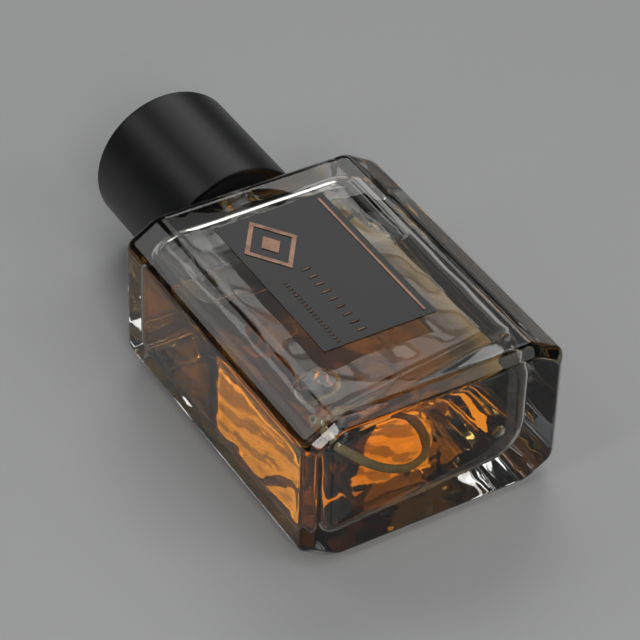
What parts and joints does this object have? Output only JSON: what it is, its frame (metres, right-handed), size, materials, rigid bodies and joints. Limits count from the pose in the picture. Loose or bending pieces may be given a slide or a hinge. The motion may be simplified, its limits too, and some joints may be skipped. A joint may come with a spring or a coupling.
{
  "type": "aftershave bottle",
  "caption": "Square-shouldered clear glass aftershave flask lying on its back, with amber fill, dark label, crimped spray pump, turning collar and a round satin black press-on cap.",
  "frame": {"origin": "centre of the footprint of the bottle lying on its back, on the surface it lies on", "axes": "+X across the width, +Y from the foot of the flask to the end of the cap, +Z out of the labelled front face"},
  "size_m": [0.066, 0.1234, 0.0404],
  "materials": {
    "flint_glass": "polished",
    "aftershave": "polished",
    "label_film": "satin",
    "copper_foil": "satin",
    "gasket_rubber": "matte",
    "bare_aluminium": "satin",
    "pump_polymer": "satin",
    "clear_polymer": "satin",
    "spring_steel": "polished",
    "black_aluminium": "satin",
    "satin_black": "satin",
    "liner_polymer": "satin"
  },
  "bodies": {
    "bottle": {"glass_bottle": "flint_glass", "aftershave_liquid": "aftershave", "label_film": "label_film", "foil_lozenge": "copper_foil", "foil_core": "copper_foil", "foil_rule": "copper_foil", "neck_gasket": "gasket_rubber", "crimp_ferrule": "bare_aluminium", "pump_housing": "pump_polymer", "pump_turret": "pump_polymer", "dip_tube": "clear_polymer", "return_spring": "spring_steel"},
    "inlet_valve": {"inlet_ball": "spring_steel"},
    "pump_stem": {"stem": "pump_polymer", "piston_spring": "spring_steel"},
    "pump_piston": {"piston": "pump_polymer"},
    "actuator": {"actuator_core": "pump_polymer", "actuator_shell": "black_aluminium", "nozzle_insert": "pump_polymer"},
    "collar": {"collar": "black_aluminium"},
    "cap": {"cap_shell": "satin_black", "cap_liner": "liner_polymer"}
  },
  "joints": [
    {"name": "collar_turn", "type": "hinge", "parent": "bottle", "child": "collar", "pos_m": [0, 0.0285, 0.02], "axis": [0, 1, 0], "continuous": true},
    {"name": "cap_pull", "type": "slide", "parent": "collar", "child": "cap", "axis": [0, 1, 0], "range_m": [0, 0.045]},
    {"name": "actuator_press", "type": "slide", "parent": "bottle", "child": "pump_stem", "axis": [0, -1, 0], "range_m": [0, 0.0045], "stiffness_N_per_m": 1800, "springref_m": -0.006, "deforming": ["return_spring"]},
    {"name": "actuator_swivel", "type": "hinge", "parent": "pump_stem", "child": "actuator", "pos_m": [0, 0.044, 0.02], "axis": [0, 1, 0], "continuous": true},
    {"name": "piston_open", "type": "slide", "parent": "pump_stem", "child": "pump_piston", "axis": [0, -1, 0], "range_m": [0, 0.0006], "stiffness_N_per_m": 1500, "springref_m": -0.002, "deforming": ["piston_spring"]},
    {"name": "ball_lift", "type": "slide", "parent": "bottle", "child": "inlet_valve", "axis": [0, 1, 0], "range_m": [0, 0.0008]}
  ]
}
